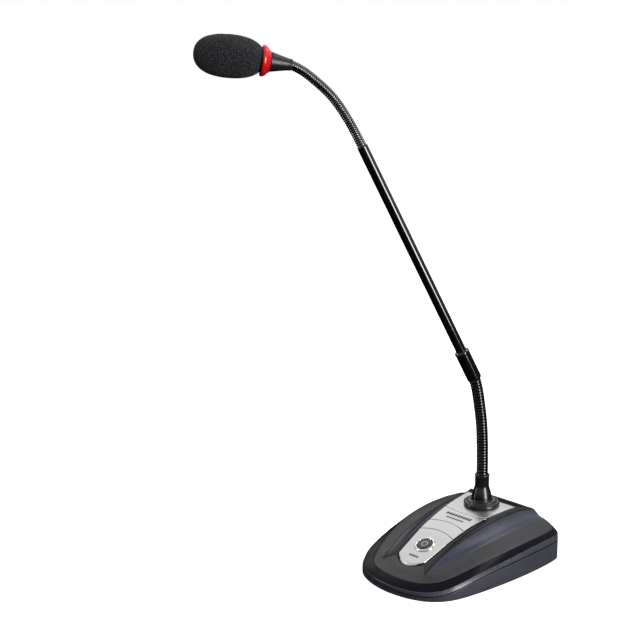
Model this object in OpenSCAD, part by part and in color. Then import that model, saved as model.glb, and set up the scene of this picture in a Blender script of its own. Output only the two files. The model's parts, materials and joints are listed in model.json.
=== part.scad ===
// Wireless gooseneck desk microphone, millimetres.
// Frame: Z up, origin on the table under the middle of the base, the front
// of the base faces -Y and +X is on the right of someone facing +Y.

/* [Base] */
// Width of the base at its widest
base_w = 113.6; // [108:0.1:120]
// Length of the base, front to rear
base_l = 144.5; // [141:0.1:152]
// Thickness of the moulded walls
wall = 2.2; // [1.8:0.1:2.6]
// Thickness of the anti-slip pad
pad_t = 1.2; // [0.8:0.1:2]
// Width of the dark gap between the two shells
seam_gap = 0.5; // [0.2:0.1:0.8]

/* [Faceplate and button] */
// Thickness of the silver faceplate
plate_t = 1.2; // [0.8:0.1:1.4]
// Diameter of the button cap
button_d = 11.4; // [9:0.1:12]
// How far the button is pressed
button_travel = 0.8; // [0.4:0.1:0.8]

/* [Stem] */
// Diameter of the flange that the stem stands on
flange_d = 28.4; // [24:0.1:30]
// Height of the boot's top edge above the table
boot_top = 62; // [60:0.5:63]
// Diameter of the boot's straight collar
collar_d = 11.2; // [10.5:0.1:12]

/* [Neck] */
// Turn of the neck's bending plane away from straight ahead
neck_turn = 33.5; // [0:0.5:60]
// Diameter of the lower gooseneck
lower_d = 9.2; // [8.6:0.1:9.6]
// Distance between the lower gooseneck's hinge points
lower_pitch = 12.6; // [12:0.1:14]
// Diameter of the rigid tube
tube_d = 8; // [7.6:0.1:8.2]
// Distance from the lower gooseneck's last hinge to the upper one's first
tube_run = 203; // [150:1:260]
// Diameter of the upper gooseneck
upper_d = 7; // [6.6:0.1:7.4]
// Distance between the upper gooseneck's hinge points
upper_pitch = 12.3; // [12:0.1:14]

/* [Head] */
// Length of the head's cone
cone_l = 15.8; // [15:0.1:17]
// Diameter of the light ring
ring_d = 21.8; // [20:0.1:24]
// Length of the foam windscreen
foam_l = 46.6; // [45:0.1:52]
// Diameter of the foam windscreen
foam_d = 29.6; // [26:0.1:34]

/* [Hidden] */

$fn = 48;

// Smallest clearance between pieces that move past each other
clear = 0.3;
// A small overlap that makes a cut go right through
cut = 1;
// Where the stem stands on the base's centreline
stem_y = 38;
// Scale of the base's outline against its drawn size
kx = base_w / 113.6;
ky = base_l / 144.5;
// Steps that each stretch of a drawn curve is divided into
steps = 4;

// Half outlines of the top shell, front centre round to rear centre.
// Each level has the same number of stations, so the skin joins them up.
// Foot of the wall, drawn at the seam's height
seam_line = [[0, -72, 3.5], [13, -70.7, 3.5], [24.5, -67.3, 3.6], [34, -61.8, 4.1],
    [41.5, -53.3, 5.4], [46.6, -41.5, 8.6], [51.2, -20, 12.3], [54.9, 7, 14.3],
    [56.8, 33, 15], [56.8, 55, 15], [54.6, 65.3, 15], [47.5, 69.6, 15], [28, 71.6, 15],
    [0, 72.5, 15]];
// Height of the wall's top edge above the seam, station by station
shoulder_rise = [3.1, 3.1, 3.2, 3.2, 3.3, 3, 3, 4.2, 5.5, 5.6, 5.4, 5.2, 5.2, 5.2];
// Inner edge of the bevelled rim
rim_line = [[0, -65, 10], [11, -64, 10], [20, -61.8, 10.2], [28, -56.8, 10.7],
    [34, -49, 12], [38.8, -38, 14.4], [45, -17.5, 18.8], [50.2, 8.5, 22.3],
    [52.9, 33, 24.3], [53.2, 53, 24.5], [51.4, 63.2, 24.7], [46, 67, 25.4],
    [27, 68.9, 25.8], [0, 69.8, 25.8]];
// Bottom of the hollow flute along each side
groove_line = [[0, -60.2, 12], [9, -59.4, 12], [16.5, -57.8, 12.4], [21.6, -54.5, 13.4],
    [23.2, -48, 15.2], [25.5, -39, 17.2], [31.5, -16, 22.4], [35.5, 10.5, 25.8],
    [37.6, 32, 27.7], [38.8, 52, 28.2], [40.2, 62.5, 28.2], [39.6, 66.2, 28.2],
    [26, 67.8, 28.2], [0, 68.6, 28.2]];
// Upper edge of the flute
ridge_line = [[0, -58.4, 12.9], [8.5, -57.7, 12.9], [15.3, -56.1, 13.1], [19.9, -53, 13.9],
    [19.8, -46, 16.4], [19.6, -36, 20.3], [20.6, -16.5, 27], [23.4, 10, 33.2],
    [25.2, 32, 35.5], [27.5, 51, 36], [31.5, 62, 35.7], [32.4, 65, 35.5],
    [25, 66.2, 35.4], [0, 66.8, 35.3]];
// Edge of the raised crest that carries the faceplate
crest_line = [[0, -54, 14.2], [5, -53.5, 14.3], [9.8, -51.8, 14.7], [13, -48.5, 15.9],
    [14.1, -42, 18.3], [15.1, -33, 21.7], [17.2, -15, 28.3], [19.4, 9, 34.1],
    [21.9, 32, 36.4], [24.4, 50.5, 37], [26, 58, 36.7], [25.6, 61.5, 36.3],
    [18, 63, 36.1], [0, 63.6, 36]];

// Faceplate stations: [y, half width, height]
plate_line = [[-51.6, 3.5, 14.95], [-50.6, 7.2, 15.35], [-48.8, 10.2, 16.05], [-46, 12.2, 17.1],
    [-42, 13, 18.65], [-33, 14.1, 22.05], [-24, 15.1, 25.4], [-15, 16.2, 28.55],
    [-3, 17.2, 31.9], [9, 18.4, 34.3], [20, 19.8, 35.8], [32, 21.4, 36.6], [43, 22.8, 37.05],
    [51.5, 23.9, 37.15]];
// The button's middle on the faceplate, and the slope there
button_y = -29.6;
button_z = 23.3;
slope = 20.6;
// Height of the stem flange's underside
flange_seat = 37.2;

// Screws through the bottom shell into the top shell: [x, y]
case_points = [[36.5, -36], [-36.5, -36], [46, 50], [-46, 50]];
// Posts that hold the circuit board: [x, y]
board_points = [[21, -30], [-21, -30], [21, 1], [-21, 1]];
floor_top = pad_t + 2.2;
board_z = 9.8;
board_t = 1.6;
ballast_t = 5;
ballast_screw_y = [-40, -6];
// Gap between the bottom shell's skirt and the table
skirt_z = 0.2;

// Battery bay: two cells side by side along Y
cell_d = 14.5;
cell_l = 50.5;
cell_x = 7.6;
cell_y = 10.6;
cell_z = 11.8;
bay_w = 31;
bay_y0 = 8.4;
bay_y1 = 68;
door_w = 34;
door_y0 = 8;
door_y1 = 72;

// Neck chain: [bend of each straight stretch from upright]
first_hinge = 65;
lower_lean = [0.5, 4, 13.5];
tube_lean = 26.5;
upper_lean = [27.2, 38.7, 61.4];
head_lean = 82;
// Ball and socket of each gooseneck
lower_ball = 2.9;
upper_ball = 2.2;

// Catmull-Rom curve through b and c
function curve(a, b, c, d, t) =
    0.5 * (2 * b + (c - a) * t + (2 * a - 5 * b + 4 * c - d) * t * t
        + (3 * b - a - 3 * c + d) * t * t * t);
function flip(p) = [-p[0], p[1], p[2]];
function half_key(k, i) =
    i < 0 ? flip(k[-i]) : i > len(k) - 1 ? flip(k[2 * len(k) - 2 - i]) : k[i];
function half_ring(k) = concat(
    [for (i = [0 : len(k) - 2]) for (j = [0 : steps - 1])
        curve(half_key(k, i - 1), k[i], k[i + 1], half_key(k, i + 2), j / steps)],
    [k[len(k) - 1]]);
function sized(k) = [for (p = k) [p[0] * kx, p[1] * ky, p[2]]];
// A closed ring, anticlockwise from the front centre
function ring(k) = let (h = half_ring(sized(k)), n = len(h))
    concat(h, [for (i = [n - 2 : -1 : 1]) flip(h[i])]);
// The same ring moved inwards by d and down by drop
function inset(r, d, drop = 0) = let (n = len(r))
    [for (i = [0 : n - 1])
        let (a = r[(i + n - 1) % n], b = r[(i + 1) % n], s = [b[0] - a[0], b[1] - a[1]], t = s / norm(s))
        [r[i][0] - t[1] * d, r[i][1] + t[0] * d, r[i][2] - drop]];
// A ring lifted by a height given station by station
function raised(r, k) = let (rise = half_rise(k), n = len(rise))
    [for (i = [0 : len(r) - 1]) r[i] + [0, 0, rise[i < n ? i : 2 * n - 2 - i]]];
function half_rise(k) = concat(
    [for (i = [0 : len(k) - 2]) for (j = [0 : steps - 1]) k[i] + (k[i + 1] - k[i]) * j / steps],
    [k[len(k) - 1]]);
function at_height(r, z) = [for (p = r) [p[0], p[1], z]];
function flat(r) = [for (p = r) [p[0], p[1]]];

// Faces that close a ring whose left and right halves mirror each other
function lid(base, n, up) = let (h = n / 2)
    concat(
        [up ? [base, base + 1, base + n - 1] : [base, base + n - 1, base + 1]],
        [for (i = [1 : h - 2])
            let (a = base + i, b = base + i + 1, c = base + n - i - 1, d = base + n - i)
            each up ? [[a, b, c], [a, c, d]] : [[a, c, b], [a, d, c]]],
        [up ? [base + h - 1, base + h, base + h + 1] : [base + h - 1, base + h + 1, base + h]]);

// Solid skinned over rings listed from the bottom up
module skin(rings) {
    n = len(rings[0]);
    m = len(rings);
    points = [for (r = rings) each r];
    sides = [for (k = [0 : m - 2]) for (i = [0 : n - 1])
        let (a = k * n + i, b = k * n + (i + 1) % n, c = b + n, d = a + n)
        each [[a, b, c], [a, c, d]]];
    faces = concat(lid(0, n, false), sides, lid((m - 1) * n, n, true));
    polyhedron(points = points, faces = [for (f = faces) [f[2], f[1], f[0]]]);
}

// Solid between two heights over stations [y, half width, low, high]
module strip(stations) {
    n = len(stations);
    points = [for (s = stations) each
        [[-s[1], s[0], s[2]], [s[1], s[0], s[2]], [s[1], s[0], s[3]], [-s[1], s[0], s[3]]]];
    sides = [for (i = [0 : n - 2]) for (j = [0 : 3])
        let (a = 4 * i + j, b = 4 * i + (j + 1) % 4)
        each [[a, b, b + 4], [a, b + 4, a + 4]]];
    last = 4 * (n - 1);
    polyhedron(points = points, faces = concat(sides,
        [[0, 2, 1], [0, 3, 2]], [[last, last + 1, last + 2], [last, last + 2, last + 3]]));
}

module tube(d, bore, l) {
    difference() {
        cylinder(d = d, h = l);
        translate([0, 0, -cut]) cylinder(d = bore, h = l + 2 * cut);
    }
}

// Everything below the seam, moved up by lift
module below_seam(lift) {
    line = half_ring(sized(seam_line));
    rotate([90, 0, 90]) linear_extrude(height = 2 * base_w, center = true)
        polygon(concat([[-base_l, -5], [-base_l, line[0][2] + lift]],
            [for (i = [0 : 36]) [line[i][1], line[i][2] + lift]],
            [[base_l, line[36][2] + lift], [base_l, -5]]));
}

// Frame of the faceplate at the button, Z along the button's travel
module at_button() {
    translate([0, button_y, button_z]) rotate([slope, 0, 0]) children();
}

// ---- Underside ----

module anti_slip_pad() color("dimgray") {
    ring0 = ring(seam_line);
    difference() {
        linear_extrude(height = pad_t) polygon(flat(inset(ring0, 5)));
        translate([-door_w / 2 - 3, door_y0 - 3, -cut]) cube([door_w + 6, base_l, pad_t + 2 * cut]);
        for (p = case_points) translate([p[0], p[1], -cut]) cylinder(d = 7, h = pad_t + 2 * cut);
    }
}

module bottom_shell() color([0.26, 0.27, 0.31]) {
    ring0 = ring(seam_line);
    difference() {
        union() {
            intersection() {
                difference() {
                    translate([0, 0, pad_t]) linear_extrude(height = 16) polygon(flat(ring0));
                    translate([0, 0, floor_top]) linear_extrude(height = 16)
                        polygon(flat(inset(ring0, wall)));
                }
                below_seam(-seam_gap / 2);
            }
            difference() {
                translate([0, 0, skirt_z]) linear_extrude(height = pad_t - skirt_z + 1)
                    polygon(flat(ring0));
                translate([0, 0, -cut]) linear_extrude(height = pad_t + cut)
                    polygon(flat(inset(ring0, 4.4)));
            }
            intersection() {
                difference() {
                    translate([0, 0, pad_t + 1]) linear_extrude(height = 18)
                        polygon(flat(inset(ring0, wall + 0.15)));
                    translate([0, 0, floor_top]) linear_extrude(height = 18)
                        polygon(flat(inset(ring0, wall + 1.2)));
                }
                below_seam(1.5);
            }
            bay_walls();
            for (p = board_points) translate([p[0], p[1], pad_t + 1])
                cylinder(d = 5.4, h = board_z - pad_t - 1);
            for (p = case_points) translate([p[0], p[1], pad_t + 1]) cylinder(d = 7.4, h = 6.8);
        }
        door_cut(0, -cut, pad_t + 1);
        door_cut(1.6, pad_t + 0.85, pad_t + 2.3);
        door_cut(0, pad_t, pad_t + 2.3);
        translate([-door_w / 2 - clear, bay_y1 + 0.8, pad_t])
            cube([door_w + 2 * clear, 10, 4.6]);
        for (p = board_points) translate([p[0], p[1], 5]) cylinder(d = 1.7, h = 10);
        for (y = ballast_screw_y) translate([0, y, floor_top - 1.3]) cylinder(d = 3.2, h = 3);
        for (p = case_points) {
            translate([p[0], p[1], -cut]) cylinder(d = 3.3, h = 20);
            translate([p[0], p[1], -cut]) cylinder(d = 6.2, h = 5 + cut);
        }
    }
}

// Room for the door between two heights, wider than the door's body by extra each side
module door_cut(extra, low, high) {
    w = door_w + 2 * clear + 2 * extra;
    translate([-w / 2, door_y0 - clear, low]) cube([w, base_l, high - low]);
}

// Walls round the battery bay, standing on the floor
module bay_walls() {
    h = 15.5;
    difference() {
        translate([-bay_w / 2 - 1.6, bay_y0 - 1.6, pad_t + 1.2])
            cube([bay_w + 3.2, bay_y1 - bay_y0 + 1.6, h]);
        translate([-bay_w / 2, bay_y0, pad_t]) cube([bay_w, bay_y1 - bay_y0 - 1.6, h + 4]);
    }
}

module ballast_plate() color("slategray")
    difference() {
        translate([-31, -50, floor_top]) cube([62, 54, ballast_t]);
        for (p = board_points) translate([p[0], p[1], 0]) cylinder(d = 6.4, h = 20);
        for (y = ballast_screw_y) translate([0, y, 0]) cylinder(d = 3.2, h = 20);
    }

module ballast_screws() color("silver")
    for (y = ballast_screw_y) translate([0, y, floor_top + ballast_t]) {
        screw_head(5);
        translate([0, 0, -ballast_t - 1.2]) cylinder(d = 3.1, h = ballast_t + 1.4);
    }

// Pan head with a cross slot, its underside at z = 0
module screw_head(d)
    difference() {
        cylinder(d = d, h = 1.2);
        for (a = [0, 90]) rotate(a) translate([-d / 3, -0.4, 0.6]) cube([d / 1.5, 0.8, 1]);
    }

module case_screws() color("silver")
    for (p = case_points) translate([p[0], p[1], 5]) {
        mirror([0, 0, 1]) screw_head(5.4);
        cylinder(d = 3, h = 5.8);
    }

module battery_door() color([0.2, 0.21, 0.24])
    difference() {
        union() {
            translate([-door_w / 2, door_y0, pad_t]) cube([door_w, door_y1 - door_y0, 2]);
            translate([-door_w / 2 - 1.5, door_y0, pad_t + 1.15])
                cube([door_w + 3, door_y1 - door_y0 - 8, 0.85]);
            translate([-door_w / 2, door_y1 - 1.8, pad_t]) cube([door_w, 1.8, 4.2]);
        }
        for (i = [0 : 4]) translate([-8, door_y1 - 18 + 2.4 * i, pad_t - cut]) cube([16, 1.2, cut + 0.6]);
    }

module batteries() color([0.25, 0.27, 0.3])
    for (s = [-1, 1]) translate([s * cell_x, cell_y, cell_z])
        rotate([-90, 0, 0]) mirror([0, 0, s > 0 ? 1 : 0]) translate([0, 0, s > 0 ? -cell_l : 0]) {
            cylinder(d = cell_d, h = cell_l - 1.2);
            translate([0, 0, cell_l - 1.2]) cylinder(d = 5.2, h = 1.2);
        }

module battery_springs() color("silver")
    for (s = [-1, 1]) translate([s * cell_x, s > 0 ? cell_y : cell_y + cell_l, cell_z])
        rotate([s > 0 ? 90 : -90, 0, 0]) contact_spring(s > 0 ? 1.6 : 4.6);

// Conical contact spring of stacked turns, its small end at z = 0
module contact_spring(l)
    for (i = [0 : 2]) translate([0, 0, 0.4 + i * (l - 0.8) / 2])
        rotate_extrude() translate([2.2 + 0.9 * i, 0]) circle(d = 0.7, $fn = 16);

module battery_plates() color("gainsboro") {
    for (s = [-1, 1]) translate([s * cell_x - 6, bay_y0 + 0.1, cell_z - 6]) cube([12, 0.4, 12]);
    translate([-14, bay_y1 - 2.1, cell_z - 6]) cube([28, 0.4, 12]);
}

// ---- Electronics ----

module battery_leads() color("firebrick")
    for (s = [-1, 1]) {
        translate([s * 12, bay_y0 - 2.2, 12.4]) rotate([90, 0, 0]) cylinder(d = 1.2, h = 2.8, $fn = 16);
        translate([s * 12, bay_y0 - 5, board_z + board_t]) cylinder(d = 1.2, h = 1.6, $fn = 16);
    }

module main_board() color("darkgreen")
    difference() {
        translate([-26, -38, board_z]) cube([52, 43, board_t]);
        for (p = board_points) translate([p[0], p[1], 0]) cylinder(d = 2.4, h = 20);
    }

module board_screws() color("silver")
    for (p = board_points) translate([p[0], p[1], board_z + board_t]) {
        screw_head(4);
        translate([0, 0, -5]) cylinder(d = 1.65, h = 5.2);
    }

module shield_can() color("lightgray")
    translate([-21, -18, board_z + board_t]) difference() {
        cube([16, 14, 3]);
        translate([0.4, 0.4, -cut]) cube([15.2, 13.2, 3 + cut - 0.4]);
    }

module board_chips() color([0.1, 0.1, 0.11]) {
    for (p = [[4, -12, 8, 8], [15, -10, 5, 4], [-24, -37.5, 5, 5], [17, -37, 6, 4], [-4, -36, 7, 5]])
        translate([p[0], p[1], board_z + board_t]) cube([p[2], p[3], 1.1]);
}

module capacitors() color("navy")
    for (p = [[17, -19], [-16, 1], [10, 1]])
        translate([p[0], p[1], board_z + board_t]) cylinder(d = 5, h = 5);

module antenna_wire() color("peru") {
    translate([-23.5, -12, board_z + board_t]) cylinder(d = 0.9, h = 3.4, $fn = 16);
    translate([-23.5, -12, board_z + board_t + 2.8]) rotate([-90, 0, 0])
        cylinder(d = 0.7, h = 34, $fn = 16);
}

module button_board() color("darkgreen")
    at_button() translate([-8, -5, -10]) cube([16, 10, 1]);

module tact_switch() color([0.12, 0.12, 0.13])
    at_button() {
        translate([-3, -3, -9]) cube([6, 6, 2.3]);
        translate([0, 0, -6.8]) cylinder(d = 3.2, h = 0.8);
    }

// ---- Faceplate and button ----

module power_button() color([0.15, 0.16, 0.19])
    at_button() {
        translate([0, 0, -4.9]) cylinder(d = button_d, h = 5.9);
        translate([0, 0, 1]) button_dome(button_d, 0.8);
        translate([0, 0, -5]) cylinder(d = 13.4, h = 0.6);
    }

// Shallow dome of a sphere's cap, its rim at z = 0
module button_dome(d, h) {
    r = (d * d / 4 + h * h) / (2 * h);
    rotate_extrude() intersection() {
        translate([0, h - r]) circle(r = r, $fn = 240);
        translate([0, -0.1]) square([d / 2, h + 0.2]);
    }
}

module button_bezel() color("silver")
    at_button() rotate_extrude()
        polygon([[6, -4], [7, -4], [7, 0.35], [8, 0.35], [8, 0.7], [7.4, 1.3], [6.5, 1.3], [6, 0.9]]);

module faceplate() color([0.8, 0.8, 0.78])
    difference() {
        strip([for (s = plate_line) [s[0] * ky, s[1] * kx, s[2] + 0.3 - plate_t, s[2] + 0.3]]);
        at_button() translate([0, 0, -10]) cylinder(d = 14.3, h = 20);
        translate([0, stem_y, 20]) cylinder(d = 14.4, h = 30);
        translate([0, stem_y, flange_seat]) cylinder(d = flange_d + 0.1, h = 5);
    }

// Recess that the faceplate lies in, a little longer and wider than the plate
module plate_pocket() {
    last = len(plate_line) - 1;
    strip([for (i = [0 : last]) let (s = plate_line[i], gap = i == 0 ? -0.15 : i == last ? 0.15 : 0)
        [s[0] * ky + gap, s[1] * kx + 0.15, s[2] + 0.28 - plate_t, s[2] + 6]]);
}

module top_shell() color([0.13, 0.14, 0.17]) {
    foot = ring(seam_line);
    rise = raised(foot, shoulder_rise);
    rim = ring(rim_line);
    groove = ring(groove_line);
    ridge = ring(ridge_line);
    crest = ring(crest_line);
    difference() {
        skin([inset(foot, 0, -seam_gap / 2), rise, rim, groove, ridge, crest]);
        difference() {
            skin([at_height(inset(foot, wall), -5), inset(rise, wall, 0.8), inset(rim, 1, wall),
                inset(groove, 0.6, wall), inset(ridge, 1.2, wall + 0.2), inset(crest, 1, wall + 0.4)]);
            for (p = case_points) translate([p[0], p[1], pad_t + 8]) cylinder(d = 7, h = 40);
        }
        for (p = case_points) translate([p[0], p[1], 0]) cylinder(d = 3.05, h = 14.4);
        plate_pocket();
        at_button() translate([0, 0, -12]) cylinder(d = 14.1, h = 20);
        translate([0, stem_y, 20]) cylinder(d = 12.2, h = 30);
    }
}

// ---- Stem ----

module stem_boot() color([0.08, 0.08, 0.09]) {
    seat = flange_seat;
    translate([0, stem_y, 0]) difference() {
        union() {
            rotate_extrude() polygon([[0, seat], [flange_d / 2, seat], [flange_d / 2, seat + 2.2],
                [flange_d / 2 - 0.8, seat + 3], [flange_d / 2 - 2.6, seat + 3.2],
                [flange_d / 2 - 3.2, seat + 4], [8.2, seat + 4.1], [8, seat + 4.6], [8, seat + 6.4],
                [7.3, seat + 9.6], [collar_d / 2 + 0.2, seat + 14.4], [collar_d / 2, seat + 15],
                [collar_d / 2, boot_top - 1.2], [collar_d / 2 + 0.4, boot_top - 0.8],
                [collar_d / 2 + 0.4, boot_top - 0.2], [collar_d / 2, boot_top], [0, boot_top]]);
            translate([0, 0, 27]) cylinder(d = 12, h = 12);
            translate([0, 0, boot_top - 1]) cylinder(d = 3.8, h = first_hinge - boot_top + 1);
            translate([0, 0, first_hinge]) sphere(r = lower_ball);
        }
        translate([0, 0, 20]) cylinder(d = 2.2, h = 60, $fn = 24);
    }
}

module stem_nut() color("silver")
    translate([0, stem_y, 29.2]) difference() {
        cylinder(d = 20, h = 4, $fn = 6);
        translate([0, 0, -cut]) cylinder(d = 12.1, h = 4 + 2 * cut);
    }

module stem_lead() color("gray")
    translate([0, stem_y, 22]) cylinder(d = 1.8, h = boot_top - 22, $fn = 16);

// ---- Neck ----

function step_to(p, lean, run) = p + run * [sin(lean), cos(lean)];
function walk(p, leans, pitch) = let (
        a = step_to(p, leans[0], pitch), b = step_to(a, leans[0], pitch),
        c = step_to(b, leans[1], pitch), d = step_to(c, leans[1], pitch),
        e = step_to(d, leans[2], pitch))
    [p, a, b, c, d, e, step_to(e, leans[2], pitch)];
// Hinge points in the neck's plane: [distance out, height]
lower_points = walk([0, first_hinge], lower_lean, lower_pitch);
upper_points = walk(step_to(lower_points[6], tube_lean, tube_run), upper_lean, upper_pitch);

// Frame at a point of the neck, Z along the neck
module on_neck(p, lean)
    translate([0, stem_y, 0]) rotate([0, 0, -neck_turn])
        translate([0, -p[0], p[1]]) rotate([lean, 0, 0]) children();

// One vertebra: socket at z = 0, ball at z = pitch
module link(d, pitch, ball, relief) {
    difference() {
        union() {
            rotate_extrude() polygon([[0, 0], [d / 2 - 0.5, 0], [d / 2, 0.5], [d / 2, pitch - relief - 0.8],
                [d / 2 - 0.8, pitch - relief], [0, pitch - relief]]);
            translate([0, 0, pitch - relief - 0.5]) cylinder(r = ball * 0.66, h = relief + 0.5);
            translate([0, 0, pitch]) sphere(r = ball);
        }
        sphere(r = ball + clear);
        translate([0, 0, -cut]) cylinder(d = 2.2, h = pitch + 10, $fn = 24);
    }
}

module lower_link(i) color([0.1, 0.1, 0.12])
    on_neck(lower_points[i], lower_lean[floor(i / 2)]) link(lower_d, lower_pitch, lower_ball, 2.3);

module upper_link(i) color([0.1, 0.1, 0.12])
    on_neck(upper_points[i], upper_lean[floor(i / 2)]) link(upper_d, upper_pitch, upper_ball, 2.6);

module ferrule() color([0.05, 0.05, 0.06])
    on_neck(lower_points[6], tube_lean) difference() {
        rotate_extrude() polygon([[0, 0], [5, 0], [5.6, 0.8], [5.6, 23], [5.8, 23.4], [5.8, 24.4],
            [5.2, 25.2], [4.4, 25.5], [0, 25.5]]);
        sphere(r = lower_ball + clear);
        cylinder(d = 2.2, h = 8, $fn = 24);
        translate([0, 0, 7]) cylinder(d = tube_d, h = 20);
    }

module rigid_tube() color([0.05, 0.05, 0.06])
    on_neck(lower_points[6], tube_lean) difference() {
        union() {
            translate([0, 0, 7]) cylinder(d = tube_d, h = tube_run - 7 - 3.6);
            translate([0, 0, tube_run - 4.6]) cylinder(d1 = tube_d, d2 = 5, h = 1.9);
            translate([0, 0, tube_run - 4]) cylinder(r = upper_ball * 0.66, h = 4);
            translate([0, 0, tube_run]) sphere(r = upper_ball);
        }
        translate([0, 0, 6]) cylinder(d = tube_d - 2, h = tube_run - 6 - 8);
        cylinder(d = 2.2, h = tube_run + 10, $fn = 24);
    }

module tube_lead() color("gray")
    on_neck(lower_points[6], tube_lean) translate([0, 0, 8]) cylinder(d = 1.8, h = tube_run - 10, $fn = 16);

// ---- Head ----

module at_head() on_neck(upper_points[6], head_lean) children();

module head_cone() color([0.17, 0.17, 0.19])
    at_head() difference() {
        rotate_extrude() polygon([[0, 0], [3.2, 0], [3.7, 0.6], [4, 3], [6.6, cone_l - 1.2],
            [6.9, cone_l - 0.6], [6.9, cone_l], [0, cone_l]]);
        sphere(r = upper_ball + clear);
        cylinder(d = 2.2, h = 8, $fn = 24);
        translate([0, 0, 6]) cylinder(d = 6.4, h = 20);
    }

module led_board() color("darkgreen")
    at_head() translate([0, 0, cone_l]) tube(13.6, 6, 1);

module light_ring() color([0.75, 0.05, 0.04, 0.75])
    at_head() translate([0, 0, cone_l]) rotate_extrude()
        polygon([[7.05, 0], [7.6, 0], [8.1, 0.7], [8.3, 1.4], [ring_d / 2 - 1.3, 2.3],
            [ring_d / 2 - 0.4, 3.7], [ring_d / 2, 4.9], [ring_d / 2, 5.7],
            [ring_d / 2 - 0.4, 6.1], [7.05, 6.1]]);

module capsule_housing() color([0.2, 0.2, 0.22])
    at_head() translate([0, 0, cone_l + 1]) difference() {
        tube(14, 12.4, 40.2);
        for (a = [0 : 45 : 315]) rotate(a) translate([0, 4, 25.2]) cube([2.2, 6, 9]);
    }

module capsule() color("silver")
    at_head() translate([0, 0, cone_l + 32.2]) cylinder(d = 9.7, h = 6.5);

module capsule_gasket() color([0.1, 0.1, 0.1])
    at_head() translate([0, 0, cone_l + 32.7]) tube(12.3, 9.8, 4);

module capsule_grille() color("gray")
    at_head() translate([0, 0, cone_l + 41.2]) difference() {
        cylinder(d = 13.6, h = 0.8);
        for (a = [0 : 60 : 300]) rotate(a) translate([3.6, 0, -cut]) cylinder(d = 1.6, h = 3, $fn = 16);
        translate([0, 0, -cut]) cylinder(d = 1.6, h = 3, $fn = 16);
    }

// Closed foam body with a blind bore that slips over the housing
module foam_windscreen() color([0.16, 0.16, 0.17])
    at_head() translate([0, 0, cone_l + 6.4]) rotate_extrude() difference() {
        polygon(foam_outline());
        translate([-1, -1]) square([8.3, 37.5]);
    }

// Half outline of the foam: a blunt egg cut off square at its mouth, 28.5 degrees round
function foam_outline() = let (middle = 21.8, mouth = 28.5)
    concat([[0, 0]],
        [for (i = [0 : 22]) let (t = -cos(mouth + (180 - mouth) * i / 22))
            [foam_d / 2 * egg(t), middle + t * (t < 0 ? middle / cos(mouth) : foam_l - middle)]]);
// Share of the full radius at a share t of the way from the middle to an end
function egg(t) = pow(1 - pow(abs(t), 2.35), 1 / 2.35);

anti_slip_pad();
bottom_shell();
ballast_plate();
ballast_screws();
case_screws();
battery_door();
batteries();
battery_springs();
battery_plates();
battery_leads();
main_board();
board_screws();
shield_can();
board_chips();
capacitors();
antenna_wire();
button_board();
tact_switch();
power_button();
button_bezel();
faceplate();
top_shell();
stem_boot();
stem_nut();
stem_lead();
lower_link(0);  // lower_link_1
lower_link(1);  // lower_link_2
lower_link(2);  // lower_link_3
lower_link(3);  // lower_link_4
lower_link(4);  // lower_link_5
lower_link(5);  // lower_link_6
ferrule();
rigid_tube();
tube_lead();
upper_link(0);  // upper_link_1
upper_link(1);  // upper_link_2
upper_link(2);  // upper_link_3
upper_link(3);  // upper_link_4
upper_link(4);  // upper_link_5
upper_link(5);  // upper_link_6
head_cone();
led_board();
light_ring();
capsule_housing();
capsule();
capsule_gasket();
capsule_grille();
foam_windscreen();
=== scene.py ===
"""Looks of the wireless gooseneck desk microphone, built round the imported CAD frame.

Lengths are in metres in Blender; the drawn outlines below are in millimetres and
scaled by MM. The frame has Z up, the base's front on -Y and the stem at y = STEM_Y.
"""

import json
import math

import bpy
import bmesh
import numpy as np
from mathutils import Matrix, Vector, noise

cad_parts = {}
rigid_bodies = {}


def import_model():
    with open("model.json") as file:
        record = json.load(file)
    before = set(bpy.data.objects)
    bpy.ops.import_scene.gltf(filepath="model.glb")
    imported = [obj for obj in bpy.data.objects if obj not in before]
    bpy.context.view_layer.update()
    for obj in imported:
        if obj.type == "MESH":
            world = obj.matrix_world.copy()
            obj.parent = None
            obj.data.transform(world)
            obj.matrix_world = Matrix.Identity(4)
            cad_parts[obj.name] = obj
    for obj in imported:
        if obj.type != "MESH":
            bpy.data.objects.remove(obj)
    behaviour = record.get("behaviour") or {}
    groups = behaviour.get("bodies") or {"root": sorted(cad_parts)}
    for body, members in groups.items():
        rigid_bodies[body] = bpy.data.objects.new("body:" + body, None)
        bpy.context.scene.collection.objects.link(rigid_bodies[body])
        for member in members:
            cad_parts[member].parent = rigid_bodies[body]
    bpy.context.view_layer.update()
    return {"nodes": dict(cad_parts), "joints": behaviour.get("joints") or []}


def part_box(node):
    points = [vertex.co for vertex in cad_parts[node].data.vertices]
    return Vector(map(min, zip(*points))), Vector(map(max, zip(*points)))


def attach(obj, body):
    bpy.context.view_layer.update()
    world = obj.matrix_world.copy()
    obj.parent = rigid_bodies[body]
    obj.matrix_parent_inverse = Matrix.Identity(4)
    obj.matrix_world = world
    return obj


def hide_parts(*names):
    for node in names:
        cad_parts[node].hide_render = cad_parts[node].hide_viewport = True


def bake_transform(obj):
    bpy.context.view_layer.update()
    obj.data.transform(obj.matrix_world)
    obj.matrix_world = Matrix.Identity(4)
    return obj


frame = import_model()

MM = 0.001
STEM_Y = 38.0
BOOT_TOP = 61.3
SEAM_GAP = 0.75
SKIRT_Z = 0.2
PLATE_RISE = 0.3
PLATE_T = 1.2
BUTTON_Y, BUTTON_Z, SLOPE = -29.6, 23.3, math.radians(20.6)

# the sky's light: heights where it starts and stops rising, and its strength at each
SKY_LOW, SKY_HIGH = 0.03, 0.32
SKY_DIM, SKY_BRIGHT = 0.0, 0.6
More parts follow.
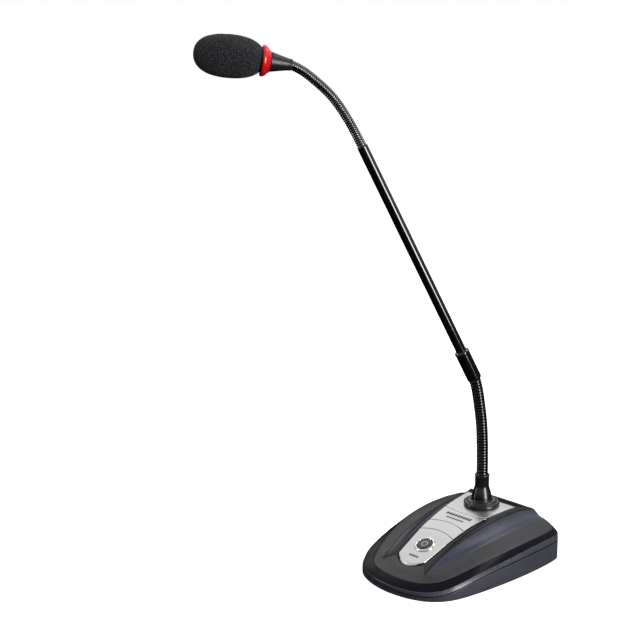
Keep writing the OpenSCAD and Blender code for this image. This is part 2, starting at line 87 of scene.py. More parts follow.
# camera: heading turned from +Y towards -X, downward pitch, place in metres, lens in mm
# and sideways shift
CAM_HEADING, CAM_PITCH = math.radians(44.5), math.radians(11.61)
CAM_PLACE = (0.4851, -0.5875, 0.3477)
CAM_LENS, CAM_SHIFT = 59.03, -0.0703

JOINTS = {j["name"]: j for j in frame["joints"]}


# ---------------------------------------------------------------- curves

def catmull(a, b, c, d, t):
    return 0.5 * (2 * b + (c - a) * t + (2 * a - 5 * b + 4 * c - d) * t * t
                  + (3 * b - a - 3 * c + d) * t ** 3)


def smooth_line(points, steps, before=None, after=None):
    """Catmull-Rom line through points, steps to a stretch, with optional end guides."""
    p = [np.array(q, float) for q in points]
    first = 2 * p[0] - p[1] if before is None else np.array(before, float)
    last = 2 * p[-1] - p[-2] if after is None else np.array(after, float)
    q = [first] + p + [last]
    out = [catmull(q[i], q[i + 1], q[i + 2], q[i + 3], j / steps)
           for i in range(len(p) - 1) for j in range(steps)]
    return np.array(out + [p[-1]])


def smoothstep(x):
    x = np.clip(x, 0, 1)
    return x * x * (3 - 2 * x)


# ---------------------------------------------------------------- meshes

def new_object(name, verts, faces, materials, face_material=None, sharp_angle=35):
    """A mesh object from plain lists, shaded smooth but for edges over sharp_angle."""
    mesh = bpy.data.meshes.new(name)
    mesh.from_pydata([tuple(v) for v in verts], [], [tuple(f) for f in faces])
    mesh.validate()
    for m in materials:
        mesh.materials.append(m)
    if face_material is not None:
        mesh.polygons.foreach_set("material_index", np.array(face_material, np.int32))
    finish_mesh(mesh, sharp_angle)
    obj = bpy.data.objects.new(name, mesh)
    bpy.context.scene.collection.objects.link(obj)
    return obj


def finish_mesh(mesh, sharp_angle=35):
    """Outward normals, smooth faces and sharp edges where the surface turns sharply."""
    bm = bmesh.new()
    bm.from_mesh(mesh)
    bmesh.ops.recalc_face_normals(bm, faces=bm.faces)
    limit = math.radians(sharp_angle)
    for f in bm.faces:
        f.smooth = True
    for e in bm.edges:
        e.smooth = not (len(e.link_faces) == 2 and e.calc_face_angle(0) > limit)
    bm.to_mesh(mesh)
    bm.free()
    mesh.update()


def skin_rings(rings, bottom="fan", top="fan"):
    """Verts and faces over closed rings of equal length; ends are closed with a fan
    to the middle, or with strips across from the left half to the right half."""
    n = len(rings[0])
    verts = [v for r in rings for v in r]
    faces = []
    for k in range(len(rings) - 1):
        for i in range(n):
            j = (i + 1) % n
            faces.append((k * n + i, k * n + j, (k + 1) * n + j, (k + 1) * n + i))
    for end, base in ((bottom, 0), (top, (len(rings) - 1) * n)):
        if end == "fan":
            verts.append(np.mean(rings[0 if base == 0 else -1], axis=0))
            c = len(verts) - 1
            faces += [(base + i, base + (i + 1) % n, c) for i in range(n)]
        elif end == "strips":
            h = n // 2
            faces.append((base, base + 1, base + n - 1))
            faces += [(base + i, base + i + 1, base + n - i - 1, base + n - i) for i in range(1, h - 1)]
            faces.append((base + h - 1, base + h, base + h + 1))
    return verts, faces


def axis_frame(origin, direction):
    """Matrix that puts local Z along direction at origin."""
    z = Vector(direction).normalized()
    x = Vector((0, 0, 1)).cross(z)
    x = Vector((1, 0, 0)) if x.length < 1e-6 else x.normalized()
    y = z.cross(x)
    m = Matrix((x, y, z)).transposed().to_4x4()
    m.translation = Vector(origin)
    return m


def lathe(name, profile, matrix, materials, segments=96, face_band=None, sharp_angle=35):
    """Turned body: profile is [(radius, height)] in mm, closed on the axis or onto itself."""
    on_axis = profile[0][0] < 1e-6 and profile[-1][0] < 1e-6
    body = profile[1:-1] if on_axis else profile
    verts, faces, bands = [], [], []
    for r, z in body:
        for i in range(segments):
            a = 2 * math.pi * i / segments
            verts.append((r * MM * math.cos(a), r * MM * math.sin(a), z * MM))
    rows = len(body)
    loop = rows - 1 if on_axis else rows
    for k in range(loop):
        k2 = (k + 1) % rows
        for i in range(segments):
            j = (i + 1) % segments
            faces.append((k * segments + i, k * segments + j, k2 * segments + j, k2 * segments + i))
            bands.append(k)
    if on_axis:
        for z, base, band in ((profile[0][1], 0, 0), (profile[-1][1], (rows - 1) * segments, rows - 2)):
            verts.append((0, 0, z * MM))
            c = len(verts) - 1
            faces += [(base + i, base + (i + 1) % segments, c) for i in range(segments)]
            bands += [band] * segments
    verts = [matrix @ Vector(v) for v in verts]
    index = None if face_band is None else [face_band(b) for b in bands]
    return new_object(name, verts, faces, materials, index, sharp_angle)


def rounded(points, radius, steps=5):
    """Profile with each inner corner [(x, y, weight)] rounded off to about radius."""
    out = [np.array(points[0][:2], float)]
    for i in range(1, len(points) - 1):
        p, q, s = (np.array(points[k][:2], float) for k in (i - 1, i, i + 1))
        r = points[i][2] if len(points[i]) > 2 else radius
        a, b = p - q, s - q
        la, lb = np.linalg.norm(a), np.linalg.norm(b)
        cut = min(r, 0.45 * la, 0.45 * lb)
        if cut < 1e-4:
            out.append(q)
            continue
        u, v = q + a / la * cut, q + b / lb * cut
        out += [(1 - t) ** 2 * u + 2 * t * (1 - t) * q + t * t * v for t in np.linspace(0, 1, steps)]
    out.append(np.array(points[-1][:2], float))
    return [tuple(p) for p in out]


def cut_away(obj, cutter):
    """Boolean difference applied to obj's mesh; the cutter is deleted."""
    mod = obj.modifiers.new("cut", "BOOLEAN")
    mod.object = cutter
    mod.operation = "DIFFERENCE"
    mod.solver = "EXACT"
    depsgraph = bpy.context.evaluated_depsgraph_get()
    mesh = bpy.data.meshes.new_from_object(obj.evaluated_get(depsgraph))
    obj.modifiers.remove(mod)
    obj.data = mesh
    bpy.data.objects.remove(cutter)
    finish_mesh(mesh)


def block(low, high, matrix=Matrix.Identity(4)):
    """Axis-aligned cutting block between two corners in mm."""
    x, y, z = zip(low, high)
    verts = [matrix @ Vector((x[i] * MM, y[j] * MM, z[k] * MM))
             for k in (0, 1) for j in (0, 1) for i in (0, 1)]
    faces = [(0, 2, 3, 1), (4, 5, 7, 6), (0, 1, 5, 4), (2, 6, 7, 3), (0, 4, 6, 2), (1, 3, 7, 5)]
    return new_object("cutter", verts, faces, [])


# ---------------------------------------------------------------- materials

def socket_set(shader, **values):
    for key, value in values.items():
        name = key.replace("_", " ")
        if name in shader.inputs:
            shader.inputs[name].default_value = value


def node_material(name, base, rough, **sockets):
    """Principled material with its own nodes; returns (material, tree, shader)."""
    mat = bpy.data.materials.new(name)
    mat.use_nodes = True
    tree = mat.node_tree
    shader = tree.nodes["Principled BSDF"]
    shader.inputs["Base Color"].default_value = (*base, 1)
    shader.inputs["Roughness"].default_value = rough
    socket_set(shader, **sockets)
    return mat, tree, shader


def add_noise(tree, scale, detail=4, roughness=0.6, kind="ShaderNodeTexNoise", stretch=(1, 1, 1)):
    coord = tree.nodes.new("ShaderNodeTexCoord")
    mapping = tree.nodes.new("ShaderNodeMapping")
    mapping.inputs["Scale"].default_value = stretch
    tree.links.new(coord.outputs["Object"], mapping.inputs["Vector"])
    tex = tree.nodes.new(kind)
    tex.inputs["Scale"].default_value = scale
    if "Detail" in tex.inputs:
        tex.inputs["Detail"].default_value = detail
    if "Roughness" in tex.inputs:
        tex.inputs["Roughness"].default_value = roughness
    tree.links.new(mapping.outputs["Vector"], tex.inputs["Vector"])
    return tex


def remap(tree, source, low, high, in_low=0.3, in_high=0.7):
    """Source mapped from in_low..in_high to low..high."""
    node = tree.nodes.new("ShaderNodeMapRange")
    for key, value in (("From Min", in_low), ("From Max", in_high), ("To Min", low), ("To Max", high)):
        node.inputs[key].default_value = value
    tree.links.new(source, node.inputs["Value"])
    return node.outputs["Result"]


def add_bump(tree, shader, source, strength, distance, before=None):
    bump = tree.nodes.new("ShaderNodeBump")
    bump.inputs["Strength"].default_value = strength
    bump.inputs["Distance"].default_value = distance
    tree.links.new(source, bump.inputs["Height"])
    if before is not None:
        tree.links.new(before.outputs["Normal"], bump.inputs["Normal"])
    tree.links.new(bump.outputs["Normal"], shader.inputs["Normal"])
    return bump


def tint(tree, shader, factor, dark, light):
    mix = tree.nodes.new("ShaderNodeMix")
    mix.data_type = "RGBA"
    colours = [s for s in mix.inputs if s.type == "RGBA"]
    colours[0].default_value = (*dark, 1)
    colours[1].default_value = (*light, 1)
    tree.links.new(factor, mix.inputs[0])
    out = [s for s in mix.outputs if s.type == "RGBA"][0]
    tree.links.new(out, shader.inputs["Base Color"])


def moulded(name, dark, light, rough, grain=2600, grain_depth=0.35, spread=0.08, **sockets):
    """Moulded plastic: fine spark-eroded grain, cloudy roughness and slight colour drift."""
    mat, tree, shader = node_material(name, dark, rough, **sockets)
    cloud = add_noise(tree, 55, 5, 0.62)
    fine = add_noise(tree, grain, 2, 0.5)
    tint(tree, shader, remap(tree, cloud.outputs["Fac"], 0, 1), dark, light)
    tree.links.new(remap(tree, cloud.outputs["Fac"], rough - spread, rough + spread),
                   shader.inputs["Roughness"])
    add_bump(tree, shader, fine.outputs["Fac"], grain_depth, 0.00006)
    return mat


def metal(name, dark, light, rough, brush=None, **sockets):
    """Metal with fine brushing or blast grain and small roughness changes."""
    mat, tree, shader = node_material(name, dark, rough, Metallic=1.0, **sockets)
    tex = add_noise(tree, 900, 3, 0.6, stretch=brush or (1, 1, 1))
    cloud = add_noise(tree, 40, 4, 0.6)
    tint(tree, shader, remap(tree, cloud.outputs["Fac"], 0, 1), dark, light)
    tree.links.new(remap(tree, tex.outputs["Fac"], rough * 0.9, rough * 1.12),
                   shader.inputs["Roughness"])
    add_bump(tree, shader, tex.outputs["Fac"], 0.03, 0.00002)
    return mat


def foam_material():
    """Open-cell foam: dark pores with paler cell walls, fully matt."""
    mat, tree, shader = node_material("foam_cells", (0.03, 0.03, 0.034), 0.95,
                                      Sheen_Weight=0.06, Sheen_Roughness=0.6)
    cells = add_noise(tree, 1150, kind="ShaderNodeTexVoronoi")
    cloud = add_noise(tree, 1500, 2, 0.6)
    tint(tree, shader, remap(tree, cloud.outputs["Fac"], 0, 1, 0.5, 0.68), (0.001, 0.001, 0.0014),
         (0.085, 0.087, 0.115))
    first = add_bump(tree, shader, cells.outputs["Distance"], 0.9, 0.0005)
    add_bump(tree, shader, cloud.outputs["Fac"], 0.8, 0.0004, first)
    return mat


MAT = {
    "lower_shell": moulded("lower_shell", (0.043, 0.045, 0.058), (0.052, 0.054, 0.069), 0.42),
    "rim_band": moulded("rim_band", (0.05, 0.052, 0.064), (0.062, 0.064, 0.078), 0.28,
                        grain_depth=0.15),
    "rim_gloss": moulded("rim_gloss", (0.003, 0.004, 0.007), (0.005, 0.006, 0.010), 0.22,
                         grain_depth=0.05, spread=0.04, Specular_IOR_Level=0.12),
    "deck": moulded("deck", (0.028, 0.026, 0.029), (0.036, 0.034, 0.037), 0.42),
    # the flutes' bluish tone is painted reflection of the light they catch
    "flute": moulded("flute", (0.03, 0.033, 0.056), (0.038, 0.042, 0.07), 0.3,
                     spread=0.03, Specular_IOR_Level=0.4),
    # near-black ridge band; this finish also gives the painted shadow line under each flute's edge
    "ridge": moulded("ridge", (0.004, 0.004, 0.005), (0.007, 0.007, 0.008), 0.3,
                     Specular_IOR_Level=0.35),
    # near-black painted shade for the seam gap, the channel where the rim meets the deck, the recess
    # under the faceplate's edge and the shells' insides
    "painted_shade": moulded("painted_shade", (0.004, 0.004, 0.005), (0.006, 0.006, 0.007), 0.6),
    "faceplate": metal("faceplate", (0.66, 0.652, 0.642), (0.68, 0.674, 0.667), 0.36),
    "plate_edge": metal("plate_edge", (0.86, 0.86, 0.86), (0.92, 0.92, 0.92), 0.16),
    # near-black painted shade in the grooves across the silver faceplate
    "painted_groove_shade": moulded("painted_groove_shade", (0.03, 0.03, 0.03), (0.05, 0.05, 0.05), 0.6),
    "print": moulded("print", (0.02, 0.02, 0.022), (0.03, 0.03, 0.032), 0.5),
    "chrome": metal("chrome", (0.86, 0.87, 0.88), (0.93, 0.93, 0.94), 0.1),
    "button": moulded("button", (0.010, 0.012, 0.02), (0.016, 0.019, 0.03), 0.2, grain_depth=0.1,
                      Coat_Weight=0.6, Coat_Roughness=0.1),
    "icon": moulded("icon", (0.75, 0.75, 0.77), (0.85, 0.85, 0.86), 0.4),
    "boot": moulded("boot", (0.007, 0.007, 0.009), (0.010, 0.010, 0.013), 0.24, spread=0.05,
                    Coat_Weight=0.25, Coat_Roughness=0.2),
    "gooseneck": moulded("gooseneck", (0.05, 0.05, 0.053), (0.065, 0.065, 0.069), 0.15, grain_depth=0.0,
                         spread=0.03, Metallic=1.0),
    # a brighter copy of the lower gooseneck's metal, for the stronger highlights on the upper neck:
    # painted highlight
    "gooseneck_painted_highlight": moulded("gooseneck_painted_highlight", (0.15, 0.15, 0.155), (0.19, 0.19, 0.197), 0.13,
                              grain_depth=0.0, spread=0.03, Metallic=1.0),
    "tube": moulded("tube", (0.003, 0.003, 0.004), (0.005, 0.005, 0.007), 0.16, grain_depth=0.06,
                    spread=0.04, Coat_Weight=0.7, Coat_Roughness=0.07),
    "head": moulded("head", (0.012, 0.012, 0.015), (0.017, 0.017, 0.021), 0.34),
    "foam": foam_material(),
    "rubber": moulded("rubber", (0.02, 0.02, 0.02), (0.035, 0.035, 0.035), 0.85, grain=900,
                      grain_depth=0.8),
}


def ring_material():
    """Red acrylic that lets some light in, over a light ring that is switched off."""
    mat, tree, shader = node_material("ring_red", (0.8, 0.008, 0.016), 0.3, Coat_Weight=0.5,
                                      Coat_Roughness=0.2, Subsurface_Weight=0.35,
                                      Subsurface_Scale=0.004,
                                      Specular_IOR_Level=0.35)
    shader.inputs["Subsurface Radius"].default_value = (1.0, 0.1, 0.08)
    cloud = add_noise(tree, 160, 3, 0.6)
    tint(tree, shader, remap(tree, cloud.outputs["Fac"], 0, 1), (0.72, 0.006, 0.013),
         (0.85, 0.012, 0.02))
    tree.links.new(remap(tree, cloud.outputs["Fac"], 0.26, 0.36), shader.inputs["Roughness"])
    add_bump(tree, shader, cloud.outputs["Fac"], 0.03, 0.0001)
    return mat


MAT["ring"] = ring_material()


def place(obj, body, slot, *replaced):
    """Fixes a piece to a body and hides the CAD nodes it stands for; slot is not used."""
    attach(obj, body)
    if replaced:
        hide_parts(*replaced)
    return obj


# ---------------------------------------------------------------- base outlines (mm)

# Half outlines, front centre to rear centre, station for station on every level.
SEAM = [(0, -72, 3.3), (13, -70.7, 3.3), (24.5, -67.3, 3.4), (34, -61.8, 3.9), (41.5, -53.3, 5.3),
        (46.6, -41.5, 8.6), (51.2, -20, 12.3), (54.9, 7, 14.3), (56.8, 33, 15), (56.8, 55, 15),
        (54.6, 65.3, 15), (47.5, 69.6, 15), (28, 71.6, 15), (0, 72.5, 15)]
SHOULDER_RISE = [3.1, 3.1, 3.2, 3.2, 3.3, 3, 3, 4.2, 5.5, 5.6, 5.4, 5.2, 5.2, 5.2]
RIM = [(0, -65, 10), (11, -64, 10), (20, -61.8, 10.2), (28, -56.8, 10.7), (34, -49, 12),
       (38.8, -38, 14.4), (45, -17.5, 18.8), (50.2, 8.5, 22.3), (52.7, 33, 23.8), (53, 53, 23.8),
       (51.2, 63, 24.0), (46, 66.8, 24.8), (27, 68.9, 25.4), (0, 69.8, 25.5)]
GROOVE = [(0, -60.2, 12), (9, -59.4, 12), (16.5, -57.8, 12.4), (21.6, -54.5, 13.4), (23.2, -48, 15.2),
          (25.5, -39, 17.2), (31.5, -16, 22.4), (35.5, 10.5, 25.8), (37.6, 32, 27.7), (38.8, 52, 28.2),
          (40.2, 62.5, 28.2), (39.6, 66.2, 28.2), (26, 67.8, 28.2), (0, 68.6, 28.2)]
RIDGE = [(0, -59.9, 12.1), (8.9, -59.1, 12.1), (16.3, -57.5, 12.5), (21.2, -54.1, 13.6),
         (20.3, -46, 16.6), (19.6, -36, 20.3), (20.6, -16.5, 27), (23.4, 10, 33.2), (25.2, 32, 35.3),
         (27.2, 51, 35.5), (30.6, 62, 34.6), (32, 64.6, 33.9), (24.5, 66, 33.3), (0, 66.7, 33.2)]
CREST = [(0, -52.4, 14.6), (5, -51.5, 14.85), (9.8, -48.8, 15.7), (12.9, -46, 16.8),
         (13.8, -41.5, 18.5), (15.1, -33, 21.7), (17.2, -15, 28.3), (19.4, 9, 34.1), (21.9, 32, 36.4),
         (24.4, 50.5, 37), (26.2, 56.5, 36.2), (25.5, 59, 35.5), (18, 60.4, 35.0), (0, 61, 34.9)]
STEPS = 9


def half(keys):
    """Half ring through the key points, met square by its mirror image at both ends."""
    flip = lambda p: (-p[0], p[1], p[2])
    return smooth_line(keys, STEPS, before=flip(keys[1]), after=flip(keys[-2]))


def full(h):
    """Closed ring from a half ring, anticlockwise from the front centre."""
    return np.concatenate([h, (h[1:-1] * np.array([-1, 1, 1]))[::-1]])


def inset(ring, d, drop=0.0):
    """Ring moved inwards by d and down by drop."""
    t = np.roll(ring, -1, 0)[:, :2] - np.roll(ring, 1, 0)[:, :2]
    t /= np.linalg.norm(t, axis=1)[:, None]
    out = ring.copy()
    out[:, 0] -= t[:, 1] * d
    out[:, 1] += t[:, 0] * d
    out[:, 2] -= drop
    return out


def both(values):
    """Values at the half ring's stations carried round the closed ring."""
    v = np.interp(np.arange(len(half(SEAM))) / STEPS, np.arange(len(values)), values)
    return np.concatenate([v, v[1:-1][::-1]])


def between(a, b, t, lift=0.0):
    """Ring part of the way from ring a to ring b."""
    out = a + (b - a) * t
    out[:, 2] += lift
    return out


foot = full(half(SEAM))
# the wall leans in a little towards its shoulder
shoulder = inset(foot, both([0, 0, 0.3, 0.8, 1.2, 1.2, 1.1, 0.9, 0.6, 0.5, 0.3, 0, 0, 0]))
shoulder[:, 2] += both(SHOULDER_RISE)
rim, groove, ridge, crest = (full(half(k)) for k in (RIM, GROOVE, RIDGE, CREST))
# How far the flutes have opened at each station: shut across the front
flute_open = both([0, 0, 0, 0, 0.9, 1, 1, 1, 1, 1, 1, 1, 1, 1])[:, None]
for level in (groove, ridge):
    # across the front the deck runs straight up from the rim to the crest
    out, whole = (np.linalg.norm((a - rim)[:, :2], axis=1) for a in (level, crest))
    share = out / whole
    straight = rim[:, 2] + (crest - rim)[:, 2] * np.clip(share, 0, 1)
    keep = smoothstep(flute_open[:, 0] * 2.5)
    level[:, 2] = straight + (level[:, 2] - straight) * keep


def top_shell():
    """The upper shell's skin, ring by ring, with each band in its own finish; the seam lip, the rim
    channel and the recess round the faceplate are painted shade, the strip under each flute's edge a
    painted shadow line and the flutes' bluish tone painted reflection.
    """
    rings, bands = [], []

    def add(ring, band):
        rings.append(ring)
        bands.append(band)

    lip = inset(foot, 0.0, -SEAM_GAP / 2)
    # the lip's underside in the seam gap is painted near-black shade
    add(inset(lip, 1.6), "painted_shade")
    add(inset(lip, 0.12), "painted_shade")
    add(between(lip, shoulder, 0.04), "rim_band")
    for t in (0.35, 0.7):
        add(between(lip, shoulder, t), "rim_band")
    # rounded shoulder into the bevelled rim
    wall_top = between(lip, shoulder, 1.0)
    wall_top[:, 2] -= 0.9
    bevel_in = between(shoulder, rim, 0.16)
    for t in np.linspace(0, 1, 6):
        a = between(wall_top, shoulder, t)
        b = between(shoulder, bevel_in, t)
        add(between(a, b, t), "rim_band" if t < 0.5 else "rim_gloss")
    for t in (0.4, 0.65, 0.85, 0.95):
        add(between(shoulder, rim, t, 0.12 * math.sin(math.pi * t)), "rim_gloss")
    # fine channel where the rim meets the deck, painted near-black shade
    add(between(rim, groove, 0.0), "painted_shade")
    add(inset(rim, 0.25, 0.45), "painted_shade")
    add(inset(rim, 0.5, 0.4), "deck")
    add(inset(rim, 0.75, -0.08), "deck")
    for t in (0.12, 0.3, 0.5, 0.7, 0.88):
        ring = between(rim, groove, t)
        ring[:, 2] += 0.35 * math.sin(math.pi * t) * flute_open[:, 0]
        add(ring, "deck")
    # bottom of the flute, soft-edged
    add(between(rim, groove, 0.975, 0.03), "deck")
    dip = groove.copy()
    dip[:, 2] -= 0.35 * flute_open[:, 0]
    add(dip, "flute")
    # the top strip of each flute, just under its edge, takes the near-black ridge finish as a painted
    # shadow line
    for t in (0.08, 0.25, 0.45, 0.65, 0.82, 0.93):
        sag = -1.15 * math.sin(math.pi * t) * flute_open
        ring = between(groove, ridge, t)
        ring[:, 2] += sag[:, 0]
        add(ring, "flute" if t < 0.9 else "ridge")
    # sharp upper edge of the flute, then the dark frame round the faceplate
    edge = ridge.copy()
    edge[:, 2] += 0.25 * flute_open[:, 0]
    add(edge, "ridge")
    for t in (0.12, 0.4, 0.7, 0.92):
        add(between(edge, crest, t, 0.25 * math.sin(math.pi * t)), "ridge")
    # the recess under the faceplate's edge is painted near-black shade
    add(crest, "painted_shade")
    add(inset(crest, 0.3, 0.9), "painted_shade")
    add(inset(crest, 1.2, 1.1), "painted_shade")
    return rings, bands


def build_top_shell():
    rings, bands = top_shell()
    n = len(rings[0])
    inner = [inset(crest, 1.2, 2.8), inset(ridge, 1.2, 2.6), inset(groove, 0.6, 2.4),
             inset(rim, 1.2, 2.4), inset(shoulder, 2.2, 1.2), inset(foot, 2.2, 0.0)]
    names = ["painted_shade", "rim_band", "rim_gloss", "deck", "flute", "ridge"]
    front_half = len(rings) - 1
    all_rings = [r * MM for r in rings]
    verts, faces = skin_rings(all_rings, bottom=None, top="strips")
    index = [names.index(bands[k]) for k in range(front_half) for _ in range(n)]
    index += [names.index("ridge")] * (len(faces) - len(index))
    # across the front the flutes are shut, so the deck's own finish runs on to the crest
    opened = flute_open[:, 0]
    for k in range(front_half):
        for i in range(n):
            if bands[k] in ("flute", "ridge") and opened[i] < 0.02 and opened[(i + 1) % n] < 0.1:
                index[k * n + i] = names.index("deck")
    base = len(verts)
    in_rings = [r * MM for r in inner[::-1]]
    iv, ifaces = skin_rings(in_rings, bottom=None, top="strips")
    verts += iv
    faces += [tuple(base + a for a in f) for f in ifaces]
    # the shell's inside takes the same near-black painted shade
    index += [0] * len(ifaces)
    for i in range(n):
        j = (i + 1) % n
        faces.append((i, j, base + j, base + i))
        index.append(0)
    obj = new_object("shell_top", verts, faces, [MAT[m] for m in names], index, sharp_angle=16)
    at_button = Matrix.Translation((0, BUTTON_Y * MM, BUTTON_Z * MM)) @ Matrix.Rotation(SLOPE, 4, "X")
    cutter = lathe("cutter", [(0, -12), (7.05, -12), (7.05, 8), (0, 8)], at_button, [])
    cut_away(obj, cutter)
    return place(obj, "base", "upper_shell", "top_shell")


def build_bottom_shell():
    top = inset(foot, 0.0, SEAM_GAP / 2)
    low = foot.copy()
    low[:, 2] = SKIRT_Z
    rings = [inset(low, 4.4, -1.1), inset(low, 4.4), inset(low, 0.3), inset(low, 0.06, -0.1),
             inset(low, 0, -0.35)]
    rings += [between(rings[-1], top, t) for t in (0.5, 0.9)]
    rings += [inset(top, 0, 0.35), inset(top, 0.12, 0.08), inset(top, 0.35), inset(top, 1.2),
              inset(top, 2.3)]
    bottom_in = inset(foot, 2.3)
    bottom_in[:, 2] = np.minimum(3.4, top[:, 2] - 0.2)
    rings.append(bottom_in)
    n = len(rings[0])
    verts, faces = skin_rings([r * MM for r in rings], bottom="strips", top="strips")
    # from the seam lip inwards the bottom shell is painted near-black shade
    index = [0 if k < 8 else 1 for k in range(len(rings) - 1) for _ in range(n)]
    index += [0] * (len(faces) - len(index))
    obj = new_object("shell_bottom", verts, faces, [MAT["lower_shell"], MAT["painted_shade"]], index, 28)
    door_low, door_high = (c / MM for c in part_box("battery_door"))
    gap = 0.3
    half_w = (door_high.x - door_low.x) / 2 - 1.5 + gap
    cut_away(obj, block((-half_w, door_low.y - gap, 0), (half_w, 90, door_low.z + 2.3)))
    cut_away(obj, block((-half_w, door_high.y - 3.5, 0), (half_w, 90, door_low.z + 4.6)))
    cut_away(obj, block((-half_w - 1.6, door_low.y - gap, door_low.z + 0.85),
                        (half_w + 1.6, 90, door_low.z + 2.3)))
    for x, y in ((36.5, -36), (-36.5, -36), (46, 50), (-46, 50)):
        cut_away(obj, lathe("cutter", [(0, 0), (3.1, 0), (3.1, 5), (0, 5)],
                            Matrix.Translation((x * MM, y * MM, 0)), [], 32))
    return place(obj, "base", "lower_shell", "bottom_shell")


# ---------------------------------------------------------------- faceplate

PLATE = [(-51.6, 3.5, 14.95), (-50.6, 7.2, 15.35), (-48.8, 10.2, 16.05), (-46, 12.2, 17.1),
         (-42, 13, 18.65), (-33, 14.1, 22.05), (-24, 15.1, 25.4), (-15, 16.2, 28.55), (-3, 17.2, 31.9),
         (9, 18.4, 34.3), (20, 19.8, 35.8), (32, 21.4, 36.6), (43, 22.8, 37.05), (51.5, 23.9, 37.15)]
PLATE_LINE = smooth_line(PLATE, 12)
CORNER_Y = -45.6
PLATE_REAR = 51.5


def plate_z(y):
    return np.interp(y, PLATE_LINE[:, 0], PLATE_LINE[:, 2])


def plate_w(y):
    return np.interp(y, PLATE_LINE[:, 0], PLATE_LINE[:, 1])


# Curved lines across the plate, front to rear: (y at the edges, bow of the middle)
FRONT_ROW = (CORNER_Y, -6.2)
LINES = [(-16.7, 4.0), (-5.2, 4.2), (17.4, -2.2)]
REAR_ROW = (PLATE_REAR, 0.0)
LINE_W = 0.42
LINE_D = 0.4


def build_faceplate():
    rows, dips = [], []
    stops = [FRONT_ROW] + LINES + [REAR_ROW]
    for k in range(len(stops) - 1):
        (y0, b0), (y1, b1) = stops[k], stops[k + 1]
        span = y1 - y0
        lead = 0.0 if k == 0 else LINE_W
        tail = 0.0 if k == len(stops) - 2 else LINE_W
        for t in np.linspace(lead / span, 1 - tail / span, 26):
            rows.append((y0 + span * t, b0 + (b1 - b0) * t))
            dips.append(0.0)
        if k < len(LINES):
            for s, d in ((-0.55, 0.25), (-0.3, 0.9), (0, 1), (0.3, 0.9), (0.55, 0.25)):
                rows.append((y1 + s * LINE_W, b1))
                dips.append(d)
    order = np.argsort([r[0] for r in rows], kind="stable")
    rows = [rows[i] for i in order]
    dips = [dips[i] for i in order]
    cols = np.concatenate([[-1, -0.996, -0.988, -0.975], np.linspace(-0.94, 0.94, 25),
                           [0.975, 0.988, 0.996, 1]])
    edge_drop = {0: 0.45, 1: 0.12, 2: 0.0, 3: 0.0}
    m = len(cols)
    top = []
    last = len(rows) - 1
    for r, ((y_edge, bow), dip) in enumerate(zip(rows, dips)):
        w = plate_w(y_edge)
        # the corners at the front are rounded, so the first rows are a little narrower
        corner = max(0.0, 1 - (y_edge - CORNER_Y) / 1.6)
        w -= 1.3 * (1 - math.sqrt(max(0.0, 1 - corner ** 2)))
        for c, t in enumerate(cols):
            y = y_edge + bow * (1 - t * t)
            side = min(c, m - 1 - c)
            drop = edge_drop.get(side, 0.0)
            end = min(r, last - r)
            drop = max(drop, {0: 0.45, 1: 0.0}.get(end, 0.0))
            z = plate_z(y) + PLATE_RISE - drop - dip * LINE_D * (1 if 0 < side else 0.6)
            top.append((t * w, y, z))
    top = np.array(top)
    low = top.copy()
    low[:, 2] = plate_z(low[:, 1]) + PLATE_RISE - PLATE_T
    verts = np.concatenate([top, low]) * MM
    faces, index = [], []
    off = len(top)
    for r in range(last):
        # rows at a groove take the near-black painted groove shade
        groove_here = dips[r] > 0.5 or dips[r + 1] > 0.5
        for c in range(m - 1):
            a, b = r * m + c, r * m + c + 1
            faces.append((a, b, b + m, a + m))
            index.append(2 if groove_here else (1 if c in (0, m - 2) or r in (0, last - 1) else 0))
            faces.append((off + a + m, off + b + m, off + b, off + a))
            index.append(0)
    for r in range(last):
        for c, s in ((0, 1), (m - 1, -1)):
            a, b = r * m + c, (r + 1) * m + c
            faces.append((a, b, off + b, off + a) if s > 0 else (b, a, off + a, off + b))
            index.append(1)
    for c in range(m - 1):
        for r, s in ((0, 1), (last, -1)):
            a, b = r * m + c, r * m + c + 1
            faces.append((b, a, off + a, off + b) if s > 0 else (a, b, off + b, off + a))
            index.append(1)
    obj = new_object("plate_silver", verts, faces,
                     [MAT["faceplate"], MAT["plate_edge"], MAT["painted_groove_shade"]], index, 30)
    at_button = Matrix.Translation((0, BUTTON_Y * MM, BUTTON_Z * MM)) @ Matrix.Rotation(SLOPE, 4, "X")
    cut_away(obj, lathe("cutter", [(0, -12), (7.1, -12), (7.1, 8), (0, 8)], at_button, []))
    return place(obj, "base", "faceplate_silver", "faceplate")


def on_plate(x, y, lift=0.03):
    """Point in mm just above the faceplate's surface."""
    return Vector((x, y, float(plate_z(y)) + PLATE_RISE + lift)) * MM


def mark(name, outline, lift=0.05):
    """Thin printed shape on the faceplate from a closed outline [(x, y)] in mm."""
    n = len(outline)
    verts = [on_plate(x, y, lift) for x, y in outline] + [on_plate(x, y, -0.05) for x, y in outline]
    faces = [tuple(range(n)), tuple(range(2 * n - 1, n - 1, -1))]
    faces += [(i, (i + 1) % n, n + (i + 1) % n, n + i) for i in range(n)]
    return new_object(name, verts, faces, [MAT["print"]], None, 30)


def join(name, objects):
    """One mesh object from several."""
    bm = bmesh.new()
    for o in objects:
        bm.from_mesh(o.data)
    mesh = bpy.data.meshes.new(name)
    bm.to_mesh(mesh)
    bm.free()
    for m in objects[0].data.materials:
        mesh.materials.append(m)
    out = bpy.data.objects.new(name, mesh)
    bpy.context.scene.collection.objects.link(out)
    for o in objects:
        bpy.data.objects.remove(o)
    return out


